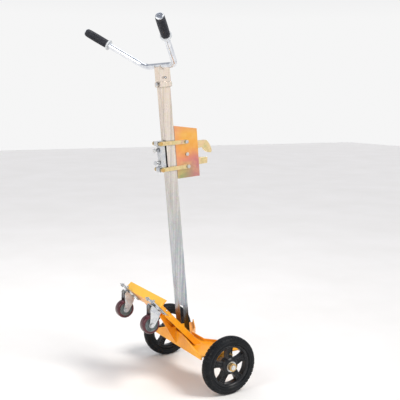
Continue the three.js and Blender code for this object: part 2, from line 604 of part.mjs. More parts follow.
for (const [side, word] of [[1, 'left'], [-1, 'right']]) {
  const y = side * CASTER_Y;
  const hubX = CASTER_X + CASTER_TRAIL;
  place(tipped, `caster_plate_${word}`, casterPlate(y), zinc);
  place(tipped, `caster_fork_${word}`, casterFork(y), zinc);
  place(tipped, `caster_kingpin_${word}`, spun([[0, FORK_TOP - 12], [8, FORK_TOP - 12], [11, FORK_TOP - 9],
    [11, FORK_TOP - 3.5 - GAP], [6, FORK_TOP - 3.5 - GAP], [6, PLATE_TOP - GAP], [0, PLATE_TOP - GAP]],
  CASTER_X, y), zinc);
  const bolt = union(rod(4.8, -FORK_HALF - 2, FORK_HALF + 6, hubX, HUB_Z),
    hex(13, -FORK_HALF - 5.5, -FORK_HALF - GAP, hubX, HUB_Z),
    hex(13, FORK_HALF + GAP, FORK_HALF + 6, hubX, HUB_Z));
  place(tipped, `caster_axle_${word}`, bolt.translate([0, y, 0]), zinc);
  const core = turned([[4.8 + GAP, -16.5], [10, -16.5], [12, -11], [23, -11], [27, -15], [27, 15], [23, 11],
    [12, 11], [10, 16.5], [4.8 + GAP, 16.5]], hubX, HUB_Z, 28).translate([0, y, 0]);
  place(tipped, `caster_core_${word}`, core, greyPlastic);
  const tread = turned([[27 + GAP, -16], [34, -16], [36.8, -12], [CASTER_R, -6], [CASTER_R, 6],
    [36.8, 12], [34, 16], [27 + GAP, 16]], hubX, HUB_Z, 32).translate([0, y, 0]);
  place(tipped, `caster_tread_${word}`, tread, maroon);
}

export default dolly;
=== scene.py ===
import json
import math

import bmesh
import bpy
from mathutils import Matrix, Vector


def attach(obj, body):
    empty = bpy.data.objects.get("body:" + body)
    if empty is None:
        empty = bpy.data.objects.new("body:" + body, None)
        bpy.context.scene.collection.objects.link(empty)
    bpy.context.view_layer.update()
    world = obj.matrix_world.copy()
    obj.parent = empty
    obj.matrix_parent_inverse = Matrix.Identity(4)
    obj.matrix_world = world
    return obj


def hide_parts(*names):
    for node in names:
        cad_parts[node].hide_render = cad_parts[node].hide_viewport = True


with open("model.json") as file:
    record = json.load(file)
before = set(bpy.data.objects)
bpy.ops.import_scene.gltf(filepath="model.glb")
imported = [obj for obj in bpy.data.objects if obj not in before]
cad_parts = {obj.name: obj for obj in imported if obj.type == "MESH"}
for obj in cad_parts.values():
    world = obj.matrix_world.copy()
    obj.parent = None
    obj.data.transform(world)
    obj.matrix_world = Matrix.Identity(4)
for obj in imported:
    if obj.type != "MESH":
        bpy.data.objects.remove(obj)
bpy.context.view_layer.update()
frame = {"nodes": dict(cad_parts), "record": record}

# ---- the dolly's own frames, in millimetres as in the CAD ----

BODY_SHIFT_X = 122.1
HINGE_Z = 120
MAST_FOOT_X = -42.6
TILT = math.radians(46)
LEAN = math.radians(5.6)
UPRIGHT = Matrix.Translation((BODY_SHIFT_X, 0, 0))
TIPPED = UPRIGHT @ Matrix.Translation((0, 0, HINGE_Z)) @ Matrix.Rotation(TILT, 4, "Y")
MAST = UPRIGHT @ Matrix.Translation((MAST_FOOT_X, 0, 0)) @ Matrix.Rotation(-LEAN, 4, "Y")
ALONG_X = Matrix.Rotation(math.radians(-90), 4, "Z")
METRES = Matrix.Scale(0.001, 4)

GAP = 0.3
WHEEL_R = 117
TRACK = 508
RIM_R = 84
HUB_HALF = 20
JOURNAL_R = 10
BAR_R = 11.1
BAR_BEND = Vector((-177, 124, 1282))
BAR_END = Vector((-348, 325, 1425))
BEND_RADIUS = 34
GRIP_LENGTH = 108
COLLAR_LENGTH = 7
CASTER_X, CASTER_Y, CASTER_TRAIL, CASTER_R = -345, 117, 30, 37.5
CASTER_HUB_Z = CASTER_R - HINGE_Z
FORK_HALF = 20
TRAY_TOP = 150
TRAY_BACK = -98
BOLT_R, BOLT_U, PIN_U = 5, 70, -47
CLAMP_LOW, CLAMP_MID, CLAMP_HIGH, CLAMP_REAR_HIGH = 884, 934, 984, 988
CLAMP_SPAN = 24.7
JAW_SPAN = 20.3
HEAD_BOLT_V, HEAD_SPAN = 1217, 25.3
JAW_HALF = 11
SIDES = ((1, "left"), (-1, "right"))


# ---- node materials ----

class Graph:
    """A Principled material whose pattern is laid out in the object's own coordinates, in metres."""

    def __init__(self, name):
        self.mat = bpy.data.materials.new(name)
        self.mat.use_nodes = True
        self.nodes = self.mat.node_tree.nodes
        self.links = self.mat.node_tree.links
        self.shader = self.nodes["Principled BSDF"]
        self.place = self.make("ShaderNodeTexCoord").outputs["Object"]

    def feed(self, socket, value):
        if isinstance(value, bpy.types.NodeSocket):
            self.links.new(value, socket)
        else:
            socket.default_value = value

    def make(self, kind, settings=None, inputs=None):
        node = self.nodes.new(kind)
        for key, value in (settings or {}).items():
            setattr(node, key, value)
        for key, value in (inputs or {}).items():
            self.feed(node.inputs[key], value)
        return node

    def sum(self, op, a, b, clamp=False):
        return self.make("ShaderNodeMath", {"operation": op, "use_clamp": clamp}, {0: a, 1: b}).outputs[0]

    def stretch(self, scale, angle=0.0):
        turn = {"Vector": self.place, "Scale": scale, "Rotation": (0, angle, 0)}
        return self.make("ShaderNodeMapping", None, turn).outputs[0]

    def noise(self, scale, detail=3.0, rough=0.55, where=None, warp=0.0):
        inputs = {"Vector": where or self.place, "Scale": scale, "Detail": detail,
                  "Roughness": rough, "Distortion": warp}
        return self.make("ShaderNodeTexNoise", None, inputs).outputs[0]

    def cells(self, scale):
        return self.make("ShaderNodeTexVoronoi", None, {"Vector": self.place, "Scale": scale})

    def span(self, value, low, high, out_low=0.0, out_high=1.0):
        inputs = {"Value": value, "From Min": low, "From Max": high, "To Min": out_low, "To Max": out_high}
        return self.make("ShaderNodeMapRange", {"clamp": True}, inputs).outputs[0]

    def ramp(self, value, stops):
        node = self.make("ShaderNodeValToRGB", None, {"Fac": value})
        points = node.color_ramp.elements
        while len(points) < len(stops):
            points.new(0.5)
        for point, (at, colour) in zip(points, stops):
            point.position = at
            point.color = (*colour, 1)
        return node.outputs["Color"]

    def blend(self, mask, a, b, mode="MIX"):
        node = self.make("ShaderNodeMix", {"data_type": "RGBA", "blend_type": mode}, {0: mask})
        for index, value in ((6, a), (7, b)):
            self.feed(node.inputs[index], value if isinstance(value, bpy.types.NodeSocket) else (*value, 1))
        return node.outputs[2]

    def axis(self, name, where=None):
        return self.make("ShaderNodeSeparateXYZ", None, {0: where or self.place}).outputs[name]

    def edges(self, radius, gain=6.0):
        """1 along edges and corners, 0 on faces."""
        rounded = self.make("ShaderNodeBevel", {"samples": 6}, {"Radius": radius}).outputs[0]
        flat = self.make("ShaderNodeNewGeometry").outputs["Normal"]
        same = self.make("ShaderNodeVectorMath", {"operation": "DOT_PRODUCT"}, {0: rounded, 1: flat})
        return self.sum("MULTIPLY", self.sum("SUBTRACT", 1.0, same.outputs["Value"]), gain, True)

    def crevice_shade_and_dirt(self, colour, reach=0.012, depth=0.75):
        """Darkens a colour in corners and under overlaps: painted shade, with dirt mixed in."""
        open_sky = self.make("ShaderNodeAmbientOcclusion", {"samples": 6}, {"Distance": reach}).outputs["AO"]
        mottle = self.span(self.noise(80, 4), 0.3, 0.7, -0.1, 0.1)
        grime_and_shade = self.span(self.sum("ADD", open_sky, mottle), 0.85, 0.3)
        # Painted shade: the colour goes near black where ambient occlusion finds a hollow.
        return self.blend(self.sum("MULTIPLY", grime_and_shade, depth), colour, (0.035, 0.03, 0.026))

    def bump(self, height, depth, strength=1.0, under=None):
        inputs = {"Height": height, "Distance": depth, "Strength": strength}
        if under is not None:
            inputs["Normal"] = under
        return self.make("ShaderNodeBump", None, inputs).outputs[0]

    def finish(self, **sockets):
        for key, value in sockets.items():
            socket = self.shader.inputs[key.replace("_", " ")]
            if socket.type == "RGBA" and not isinstance(value, bpy.types.NodeSocket):
                value = (*value, 1)
            self.feed(socket, value)
        return self.mat


def powder_coat():
    """Orange powder coat with a painted highlight on faces that point up and back and painted shade in its
    hollows, worn and chipped along its edges.
    """
    g = Graph("powder_coat")
    patches = g.noise(7, 4, 0.6, warp=0.4)
    colour = g.ramp(patches, [(0.3, (0.82, 0.28, 0.003)), (0.52, (0.93, 0.37, 0.005)),
                              (0.72, (1.0, 0.46, 0.010))])
    smudge = g.span(g.noise(23, 6, 0.7), 0.56, 0.74, 0.0, 0.4)
    colour = g.blend(smudge, colour, (0.42, 0.14, 0.01))
    # Painted highlight: faces that point up and back in world axes are painted a lighter orange.
    facing = g.make("ShaderNodeSeparateXYZ", None, {0: g.make("ShaderNodeNewGeometry").outputs["Normal"]})
    highlight_up = g.span(facing.outputs["Z"], 0.55, 0.71)
    highlight_back = g.span(facing.outputs["X"], -0.45, -0.65)
    colour = g.blend(g.sum("MULTIPLY", g.sum("MULTIPLY", highlight_up, highlight_back), 0.8), colour, (1.0, 0.58, 0.06))
    edge = g.edges(0.0018)
    worn = g.sum("MULTIPLY", edge, g.span(g.noise(48, 4), 0.36, 0.6), True)
    colour = g.blend(worn, colour, (1.0, 0.60, 0.16))
    chipped = g.sum("MULTIPLY", edge, g.span(g.noise(130, 5, 0.7), 0.6, 0.64), True)
    scratch = g.noise(90, 3, 0.6, g.stretch((1.0, 0.08, 1.0), 0.5))
    marks = g.span(scratch, 0.72, 0.76, 0.0, 0.5)
    colour = g.blend(marks, colour, (1.0, 0.66, 0.28))
    colour = g.blend(chipped, colour, (0.20, 0.17, 0.15))
    # Painted shade with some dirt: darker in the coat's hollows.
    colour = g.crevice_shade_and_dirt(colour, 0.010, 0.45)
    rough = g.span(g.noise(60, 4), 0.3, 0.7, 0.30, 0.46)
    peel = g.bump(g.noise(620, 2), 0.00022)
    return g.finish(Base_Color=colour, Roughness=rough, Normal=g.bump(chipped, 0.0003, 0.6, peel),
                    Metallic=g.sum("MULTIPLY", chipped, 0.8), Coat_Weight=0.12, Coat_Roughness=0.25)


def galvanised():
    """Galvanised tube with painted reflections: its colour runs from cool below to warm above, its foot is
    painted near black in front as painted shade and brown behind as a painted reflection of the orange base,
    and its hollows get painted shade.
    """
    g = Graph("galvanised_tube")
    along = g.stretch((1.0, 1.0, 0.035), -LEAN)
    streaks = g.noise(150, 4, 0.6, along)
    # Painted reflection: the colour runs by height from blue-grey at the foot to warm beige near the top.
    height = g.span(g.axis("Z"), 0.3, 1.2)
    painted_reflection_tone = g.ramp(height, [(0.0, (0.27, 0.31, 0.37)), (0.3, (0.40, 0.43, 0.46)), (0.5, (0.54, 0.52, 0.49)),
                           (0.68, (0.76, 0.67, 0.58)), (1.0, (0.86, 0.71, 0.58))])
    colour = g.blend(g.span(streaks, 0.35, 0.7, 0.0, 0.5), painted_reflection_tone, (0.98, 0.96, 0.92))
    colour = g.blend(g.span(g.noise(9, 5, 0.65, warp=0.6), 0.54, 0.76, 0.0, 0.3), colour, (0.42, 0.43, 0.45))
    drawn = g.noise(95, 3, 0.5, g.stretch((1.0, 1.0, 0.012), -LEAN))
    colour = g.blend(g.span(drawn, 0.54, 0.68, 0.0, 0.4), colour, (0.34, 0.31, 0.28))
    ahead = g.sum("ADD", g.sum("MULTIPLY", g.axis("X"), math.cos(LEAN)),
                  g.sum("MULTIPLY", g.axis("Z"), math.sin(LEAN)))
    # Painted shade and reflection at the mast's foot: near black on the front wall as painted shade, brown on
    # the rest as a painted reflection of the orange base.
    foot = g.span(g.sum("ADD", g.axis("Z"), g.span(g.noise(60, 4), 0.3, 0.7, -0.012, 0.012)), 0.318, 0.272)
    mast_middle = 0.0791
    front_wall = g.sum("GREATER_THAN", ahead, mast_middle)
    foot_shade_and_reflection = g.blend(front_wall, (0.30, 0.15, 0.05), (0.02, 0.02, 0.023))
    colour = g.blend(g.sum("MULTIPLY", foot, 0.9), colour, foot_shade_and_reflection)
    spangle = g.cells(120).outputs["Color"]
    colour = g.blend(0.07, colour, spangle, "OVERLAY")
    stain = g.span(g.noise(34, 6, 0.7), 0.62, 0.75, 0.0, 0.5)
    colour = g.blend(g.sum("MULTIPLY", stain, g.edges(0.004, 3.0)), colour, (0.40, 0.24, 0.10))
    # Painted shade with some dirt: darker in the tube's hollows.
    colour = g.crevice_shade_and_dirt(colour, 0.012, 0.85)
    rough = g.sum("ADD", g.span(streaks, 0.3, 0.7, 0.15, 0.25), g.span(g.noise(28, 5), 0.35, 0.7, 0.0, 0.08))
    return g.finish(Base_Color=colour, Metallic=1.0, Roughness=rough,
                    Normal=g.bump(streaks, 0.00012, 0.8, g.bump(g.noise(16, 2), 0.0008, 0.4)))


def chrome():
    g = Graph("chrome_plate")
    haze = g.noise(40, 5, 0.65)
    colour = g.ramp(haze, [(0.3, (0.62, 0.66, 0.72)), (0.6, (0.84, 0.86, 0.89))])
    pits = g.span(g.cells(260).outputs["Distance"], 0.02, 0.07, 1.0, 0.0)
    pits = g.sum("MULTIPLY", pits, g.span(g.noise(22, 3), 0.6, 0.72), True)
    colour = g.blend(pits, colour, (0.22, 0.16, 0.11))
    rough = g.sum("ADD", g.span(haze, 0.35, 0.7, 0.05, 0.16), g.sum("MULTIPLY", pits, 0.4))
    fine = g.noise(300, 3, 0.6, g.stretch((1.0, 0.15, 1.0)))
    return g.finish(Base_Color=colour, Metallic=1.0, Roughness=rough, Normal=g.bump(fine, 0.00004, 0.5))


def zinc(name, stops, dull, dull_colour, edge_colour, roughness=(0.22, 0.38), scale=26.0):
    """Zinc plate: a passivated tint that drifts over the surface, dull blotches, bright rubbed edges and
    painted shade in its hollows.
    """
    g = Graph(name)
    tint = g.noise(scale, 3, 0.5, warp=1.2)
    colour = g.ramp(tint, stops)
    blotch = g.span(g.noise(70, 5, 0.7), 0.5, 0.68, 0.0, dull)
    colour = g.blend(blotch, colour, dull_colour)
    rubbed = g.sum("MULTIPLY", g.edges(0.0012), g.span(g.noise(120, 3), 0.35, 0.6), True)
    colour = g.blend(rubbed, colour, edge_colour)
    # Painted shade with some dirt: darker in the plate's hollows.
    colour = g.crevice_shade_and_dirt(colour, 0.009, 0.7)
    rough = g.sum("ADD", g.span(g.noise(90, 4), 0.3, 0.7, *roughness), g.sum("MULTIPLY", blotch, 0.2))
    grain = g.noise(420, 3, 0.6, g.stretch((1.0, 1.0, 0.3)))
    return g.finish(Base_Color=colour, Metallic=0.93, Roughness=rough, Normal=g.bump(grain, 0.00007, 0.6))


def housing_zinc():
    """The clamp plate's yellow zinc: pink by the mast, gold above, magenta in front, green at its foot."""
    g = Graph("yellow_zinc_housing")
    drift = g.make("ShaderNodeTexNoise", None,
                   {"Vector": g.place, "Scale": 11.0, "Detail": 3.0}).outputs["Color"]
    moved = g.make("ShaderNodeVectorMath", {"operation": "MULTIPLY_ADD"},
                   {0: drift, 1: (0.07, 0.07, 0.07), 2: g.place}).outputs[0]
    high = g.span(g.axis("Z", moved), 0.885, 1.075)
    front = g.span(g.axis("X", moved), 0.03, 0.15)
    colour = g.ramp(high, [(0.0, (0.37, 0.38, 0.17)), (0.13, (0.52, 0.42, 0.18)), (0.3, (0.78, 0.29, 0.19)),
                           (0.6, (0.88, 0.40, 0.09)), (0.85, (0.90, 0.47, 0.10)), (1.0, (0.84, 0.40, 0.14))])
    colour = g.blend(g.span(front, 0.34, 0.0, 0.0, 0.55), colour, (0.86, 0.34, 0.22))
    low = g.sum("MULTIPLY", g.span(front, 0.4, 0.85), g.span(high, 0.6, 0.25), True)
    colour = g.blend(g.sum("MULTIPLY", low, 0.85), colour, (0.56, 0.20, 0.23))
    veil = g.span(g.noise(44, 4, 0.5, warp=0.3), 0.45, 0.75, 0.0, 0.32)
    colour = g.blend(veil, colour, (0.92, 0.62, 0.24))
    spots = g.span(g.noise(150, 4, 0.7), 0.66, 0.72, 0.0, 0.6)
    colour = g.blend(spots, colour, (0.35, 0.17, 0.10))
    rubbed = g.sum("MULTIPLY", g.edges(0.0014), g.span(g.noise(90, 3), 0.35, 0.6), True)
    colour = g.blend(rubbed, colour, (0.86, 0.80, 0.62))
    rough = g.span(g.noise(70, 4), 0.3, 0.7, 0.34, 0.48)
    return g.finish(Base_Color=colour, Metallic=0.72, Roughness=rough,
                    Normal=g.bump(g.noise(380, 3), 0.00008, 0.6, g.bump(g.noise(30, 2), 0.0004, 0.4)))


def rubber(name, dark, light, roughness, dust, grain=900.0, grip=0.00012, gloss=0.32):
    g = Graph(name)
    cloud = g.noise(30, 5, 0.65)
    colour = g.ramp(cloud, [(0.35, dark), (0.68, light)])
    dusty = g.span(g.noise(75, 6, 0.7), 0.52, 0.74, 0.0, dust)
    colour = g.blend(dusty, colour, (0.19, 0.18, 0.165))
    scuffed = g.sum("MULTIPLY", g.edges(0.0015, 4.0), g.span(g.noise(110, 4), 0.4, 0.62, 0.0, 0.5), True)
    colour = g.blend(scuffed, colour, (0.13, 0.135, 0.14))
    rough = g.sum("ADD", g.span(cloud, 0.3, 0.7, roughness - 0.07, roughness + 0.07),
                  g.sum("MULTIPLY", dusty, 0.3))
    return g.finish(Base_Color=colour, Roughness=rough, Specular_IOR_Level=gloss,
                    Normal=g.bump(g.noise(grain, 2), grip, 0.8))


def tread_urethane():
    g = Graph("maroon_urethane")
    cloud = g.noise(42, 4, 0.6, warp=0.5)
    colour = g.ramp(cloud, [(0.3, (0.03, 0.003, 0.006)), (0.6, (0.075, 0.006, 0.013)),
                            (0.8, (0.12, 0.014, 0.022))])
    rolled = g.span(g.noise(120, 5, 0.7), 0.58, 0.72, 0.0, 0.4)
    colour = g.blend(rolled, colour, (0.22, 0.12, 0.10))
    rough = g.sum("ADD", g.span(cloud, 0.3, 0.7, 0.16, 0.3), g.sum("MULTIPLY", rolled, 0.4))
    return g.finish(Base_Color=colour, Roughness=rough, Coat_Weight=0.3, Coat_Roughness=0.12,
                    Normal=g.bump(g.noise(260, 3), 0.00008, 0.6))


# One look for each material slot. A plated one gives its tint's stops, the strength and colour of its dull
# blotches, and the colour of its rubbed edges.
LOOKS = {
    "orange_paint": powder_coat(),
    "galvanised": galvanised(),
    "chrome": chrome(),
    "bright_zinc": zinc("bright_zinc", [(0.3, (0.50, 0.53, 0.58)), (0.5, (0.68, 0.70, 0.72)),
                                        (0.72, (0.74, 0.72, 0.66))],
                        0.45, (0.34, 0.35, 0.36), (0.88, 0.89, 0.9)),
    "yellow_zinc": zinc("yellow_zinc", [(0.3, (0.52, 0.26, 0.12)), (0.45, (0.70, 0.44, 0.15)),
                                        (0.6, (0.66, 0.50, 0.20)), (0.75, (0.50, 0.24, 0.16))],
                        0.4, (0.22, 0.13, 0.08), (0.85, 0.72, 0.45), (0.26, 0.4), 60.0),
    "pale_zinc": zinc("pale_zinc", [(0.26, (0.60, 0.58, 0.30)), (0.40, (0.80, 0.64, 0.32)),
                                    (0.6, (0.88, 0.68, 0.38)), (0.76, (0.80, 0.50, 0.36))],
                      0.4, (0.42, 0.32, 0.16), (0.92, 0.88, 0.74), (0.28, 0.42)),
    "brass": zinc("brass", [(0.35, (0.55, 0.36, 0.12)), (0.7, (0.74, 0.55, 0.24))],
                  0.4, (0.2, 0.14, 0.07), (0.9, 0.76, 0.46)),
    "tyre": rubber("tyre_rubber", (0.003, 0.0036, 0.0045), (0.008, 0.0095, 0.0125), 0.42, 0.07, gloss=0.17),
    "grip": rubber("grip_rubber", (0.010, 0.011, 0.016), (0.024, 0.026, 0.036), 0.46, 0.25, 1400.0, 0.00008),
    "pad": rubber("pad_rubber", (0.016, 0.016, 0.016), (0.035, 0.035, 0.033), 0.7, 0.5),
    "wheel_plastic": rubber("wheel_plastic", (0.006, 0.0065, 0.008), (0.014, 0.015, 0.018),
                            0.3, 0.16, 700.0, 0.00006),
    "core_plastic": rubber("core_plastic", (0.10, 0.13, 0.135), (0.19, 0.22, 0.22),
                           0.34, 0.35, 700.0, 0.00006),
    "collar": rubber("collar_plastic", (0.52, 0.55, 0.58), (0.70, 0.72, 0.73), 0.35, 0.3, 700.0, 0.00006),
    "maroon_tread": tread_urethane(),
}
HOUSING = housing_zinc()


# ---- mesh shapes, in millimetres ----

class Shape:
    """A mesh in the making. Each method adds a closed body, and where places it."""

    def __init__(self):
        self.verts = []
        self.faces = []

    def add(self, verts, faces, where=None):
        start = len(self.verts)
        self.verts += [where @ Vector(v) for v in verts] if where else [Vector(v) for v in verts]
        self.faces += [tuple(i + start for i in face) for face in faces]
        return self

    def lathe(self, profile, segments=96, where=None, angles=None, depth=None):
        """Turns [radius, y] points about Y: a solid if the profile starts on the axis, otherwise a ring.
        depth(i, k) is taken off point k's radius at angle number i."""
        closed = profile[0][0] > 0
        angles = angles or [2 * math.pi * i / segments for i in range(segments)]
        count, verts, faces, rows = len(angles), [], [], []
        for k, (r, y) in enumerate(profile):
            if r == 0:
                rows.append([len(verts)] * count)
                verts.append((0, y, 0))
                continue
            rows.append(list(range(len(verts), len(verts) + count)))
            for i, a in enumerate(angles):
                real = r - (depth(i, k) if depth else 0)
                verts.append((real * math.cos(a), y, real * math.sin(a)))
        pairs = list(zip(rows, rows[1:])) + ([(rows[-1], rows[0])] if closed else [])
        for lower, upper in pairs:
            for i in range(count):
                j = (i + 1) % count
                loop = [lower[i], upper[i], upper[j], lower[j]]
                loop = [v for n, v in enumerate(loop) if v not in loop[:n]]
                if len(loop) > 2:
                    faces.append(loop)
        return self.add(verts, faces, where)

    def prism(self, outline, y0, y1, where=None):
        """Extrudes an [x, z] outline along Y."""
        n = len(outline)
        verts = [(x, y0, z) for x, z in outline] + [(x, y1, z) for x, z in outline]
        faces = [tuple(range(n)), tuple(range(2 * n - 1, n - 1, -1))]
        faces += [(i, (i + 1) % n, (i + 1) % n + n, i + n) for i in range(n)]
        return self.add(verts, faces, where)

    def frame_prism(self, outer, inner, y0, y1, where=None):
        """A wall between two outlines of the same number of points, extruded along Y."""
        n = len(outer)
        verts = [(x, y, z) for y in (y0, y1) for ring in (outer, inner) for x, z in ring]
        faces = []
        for i in range(n):
            j = (i + 1) % n
            faces += [(i, j, j + 2 * n, i + 2 * n), (i + n, i + 3 * n, j + 3 * n, j + n),
                      (i, i + n, j + n, j), (i + 2 * n, j + 2 * n, j + 3 * n, i + 3 * n)]
        return self.add(verts, faces, where)

    def tube(self, points, radius, sides=24, where=None, swell=None):
        """Sweeps a circle along points. swell(i) multiplies its radius at point i."""
        points = [Vector(p) for p in points]
        heading = (points[1] - points[0]).normalized()
        across = heading.orthogonal().normalized()
        verts, faces = [], []
        for i, p in enumerate(points):
            ahead = points[min(i + 1, len(points) - 1)] - points[max(i - 1, 0)]
            across = heading.rotation_difference(ahead.normalized()) @ across
            heading = ahead.normalized()
            up = heading.cross(across)
            for k in range(sides):
                a = 2 * math.pi * k / sides
                r = radius * (swell(i) if swell else 1)
                verts.append(p + across * (r * math.cos(a)) + up * (r * math.sin(a)))
        for i in range(len(points) - 1):
            for k in range(sides):
                j = (k + 1) % sides
                faces.append((i * sides + k, i * sides + j, (i + 1) * sides + j, (i + 1) * sides + k))
        faces.append(tuple(range(sides - 1, -1, -1)))
        last = (len(points) - 1) * sides
        faces.append(tuple(range(last, last + sides)))
        return self.add(verts, faces, where)

    def hexagon(self, flats, y0, y1, where=None, bore=0.0):
        """A hex head or nut along Y, its corners chamfered at the y1 end."""
        count = 48
        away = 1 if y1 > y0 else -1
        face_r = flats / 2 * 0.96
        lower, upper, top, inner = [], [], [], []
        for i in range(count):
            a = 2 * math.pi * i / count
            r = flats / 2 / math.cos((a + math.pi / 6) % (math.pi / 3) - math.pi / 6)
            c, s = math.cos(a), math.sin(a)
            lower.append((r * c, y0, r * s))
            upper.append((r * c, y1 - away * (r - face_r) * 0.55, r * s))
            top.append((face_r * c, y1, face_r * s))
            inner.append((bore * c, y1, bore * s))
        verts = lower + upper + top
        faces = [tuple(range(count))]
        rows = 2
        if bore:
            verts += inner + [(x, y0, z) for x, _, z in inner]
            rows = 4
            faces = [(i, (i + 1) % count, (i + 1) % count + 4 * count, i + 4 * count) for i in range(count)]
        else:
            faces.append(tuple(range(3 * count - 1, 2 * count - 1, -1)))
        for row in range(rows):
            for i in range(count):
                j = (i + 1) % count
                faces.append((row * count + i, (row + 1) * count + i, (row + 1) * count + j, row * count + j))
        return self.add(verts, faces, where)

    def thread(self, radius, y0, y1, where=None, pitch=1.25):
        """A threaded shank along Y with a chamfered end at y1."""
        away = 1 if y1 > y0 else -1
        turns = max(1, int((abs(y1 - y0) - 1) / pitch))
        profile = [(0, y0), (radius * 0.86, y0)]
        for i in range(turns):
            at = y0 + away * pitch * i
            profile += [(radius, at + away * pitch * 0.4), (radius, at + away * pitch * 0.6),
                        (radius * 0.87, at + away * pitch)]
        profile += [(radius * 0.8, y1), (0, y1)]
        return self.lathe(profile, 40, where)

    def bolt(self, radius, flats, head, grip, nut, end, where=None):
        """A bolt along Y. head and nut are (start, end), and the thread runs from grip to end."""
        washer = 1.2
        self.hexagon(flats, head[0], head[1], where)
        self.lathe([(0, head[0]), (radius, head[0]), (radius, grip), (0, grip)], 40, where)
        self.lathe([(radius * 0.9, nut[0]), (flats * 0.56, nut[0]), (flats * 0.56, nut[0] + washer),
                    (radius * 0.9, nut[0] + washer)], 48, where)
        self.hexagon(flats, nut[0] + washer, nut[1], where)
        return self.thread(radius, grip, end, where)


def mirrored(profile):
    """Adds the other half of a profile that is the same on both sides of y = 0."""
    return profile + [(r, -y, *more) for r, y, *more in reversed(profile)]


def slab(x0, x1, half):
    """Outline of a thin wall from x0 to x1."""
    return [(x0, -half), (x1, -half), (x1, half), (x0, half)]


CREASE_ANGLE = math.radians(32)


def link(name, data):
    obj = bpy.data.objects.new(name, data)
    bpy.context.scene.collection.objects.link(obj)
    return obj


def crease_group():
    """Smooth shading with creases kept sharp, as a geometry node group."""
    group = bpy.data.node_groups.new("smooth_by_angle", "GeometryNodeTree")
    group.interface.new_socket("Geometry", in_out="INPUT", socket_type="NodeSocketGeometry")
    group.interface.new_socket("Geometry", in_out="OUTPUT", socket_type="NodeSocketGeometry")
    nodes, links = group.nodes, group.links
    start, end = nodes.new("NodeGroupInput"), nodes.new("NodeGroupOutput")
    angle = nodes.new("GeometryNodeInputMeshEdgeAngle")
    sharp = nodes.new("FunctionNodeCompare")
    sharp.inputs["B"].default_value = CREASE_ANGLE
    faces, edges = nodes.new("GeometryNodeSetShadeSmooth"), nodes.new("GeometryNodeSetShadeSmooth")
    faces.domain, edges.domain = "FACE", "EDGE"
    links.new(start.outputs[0], faces.inputs["Geometry"])
    links.new(faces.outputs[0], edges.inputs["Geometry"])
    links.new(angle.outputs["Unsigned Angle"], sharp.inputs["A"])
    links.new(sharp.outputs[0], edges.inputs["Selection"])
    edges.inputs["Shade Smooth"].default_value = False
    links.new(edges.outputs[0], end.inputs[0])
    return group


CREASES = crease_group()


def dress(obj, bevel=0.0, welded=True):
    """Merges, bevels and shades an object with modifiers. Its own mesh stays as it is."""
    if "custom_normal" in obj.data.attributes:
        obj.data.attributes.remove(obj.data.attributes["custom_normal"])
    if welded:
        obj.modifiers.new("merge", "WELD").merge_threshold = 0.00001
        flat = obj.modifiers.new("flat_faces", "DECIMATE")
        flat.decimate_type = "DISSOLVE"
        flat.angle_limit = math.radians(0.6)
    if bevel:
        round_off = obj.modifiers.new("rounded_edges", "BEVEL")
        round_off.width = bevel * 0.001
        round_off.segments = 2
        round_off.limit_method = "ANGLE"
        round_off.angle_limit = CREASE_ANGLE
        round_off.use_clamp_overlap = True
    obj.modifiers.new("creases", "NODES").node_group = CREASES
    obj.modifiers.new("flat_shading", "WEIGHTED_NORMAL").keep_sharp = True


def piece(name, shape, frame_matrix, body, slot, replaces=(), bevel=0.0, look=None):
    mesh = bpy.data.meshes.new(name)
    where = METRES @ frame_matrix
    mesh.from_pydata([where @ v for v in shape.verts], [], shape.faces)
    work = bmesh.new()
    work.from_mesh(mesh)
    bmesh.ops.remove_doubles(work, verts=work.verts, dist=1e-7)
    bmesh.ops.recalc_face_normals(work, faces=work.faces)
    work.to_mesh(mesh)
    work.free()
    obj = link(name, mesh)
    mesh.materials.append(look or LOOKS[slot])
    dress(obj, bevel, welded=False)
    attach(obj, body)
    if replaces:
        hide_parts(*replaces)


# ---- CAD nodes that are right as they are: better finish, rounded edges ----

BEVELS = {"frame_tongue": 1.0, "caster_beam": 1.0, "base_tray": 1.0, "frame_gusset": 0.9, "drum_cradle": 1.0,
          "mast_tube": 1.15, "head_sleeve": 1.0, "clamp_housing": 1.1, "clamp_block": 0.9, "clamp_pad": 0.6,
          "jaw_upper": 1.6, "jaw_lower": 1.6, "main_axle": 0.4, "head_button": 0.5}
for word in ("left", "right"):
    BEVELS.update({f"axle_bracket_{word}": 1.0, f"axle_washer_{word}": 0.5, f"caster_plate_{word}": 0.5,
                   f"caster_kingpin_{word}": 0.5, f"caster_fork_{word}": 0.7, f"wheel_bearing_{word}": 0.6,
                   f"valve_stem_{word}": 0.4, f"strap_upper_{word}": 0.7, f"strap_lower_{word}": 0.7})
slots_of = {row["node"]: row["material_slot"] for row in frame["record"]["subparts"]}
for node, width in BEVELS.items():
    obj = frame["nodes"][node]
    look = HOUSING if node == "clamp_housing" else LOOKS[slots_of[node]]
    for holder in obj.material_slots:
        holder.material = look
    dress(obj, width)


# ---- handlebar, grips and their ends ----

def bar_path():
    """The bar's centre line, from its right end to its left one."""
    reach = (BAR_END - BAR_BEND).normalized()
    start = BAR_BEND - Vector((0, BEND_RADIUS, 0))
    leave = BAR_BEND + reach * BEND_RADIUS
    half = [start.lerp(Vector((start.x, 0, start.z)), 1 - i / 12) for i in range(12)]
    for i in range(21):
        t = i / 20
        half.append(start * (1 - t) ** 2 + BAR_BEND * (2 * t * (1 - t)) + leave * t ** 2)
    half += [leave.lerp(BAR_END, i / 20) for i in range(1, 21)]
    return [Vector((p.x, -p.y, p.z)) for p in reversed(half[1:])] + half


piece("bar_tube", Shape().tube(bar_path(), BAR_R, 40), UPRIGHT, "frame", "chrome", ["handlebar"])

arm = BAR_END - BAR_BEND
ARM_LENGTH = arm.length


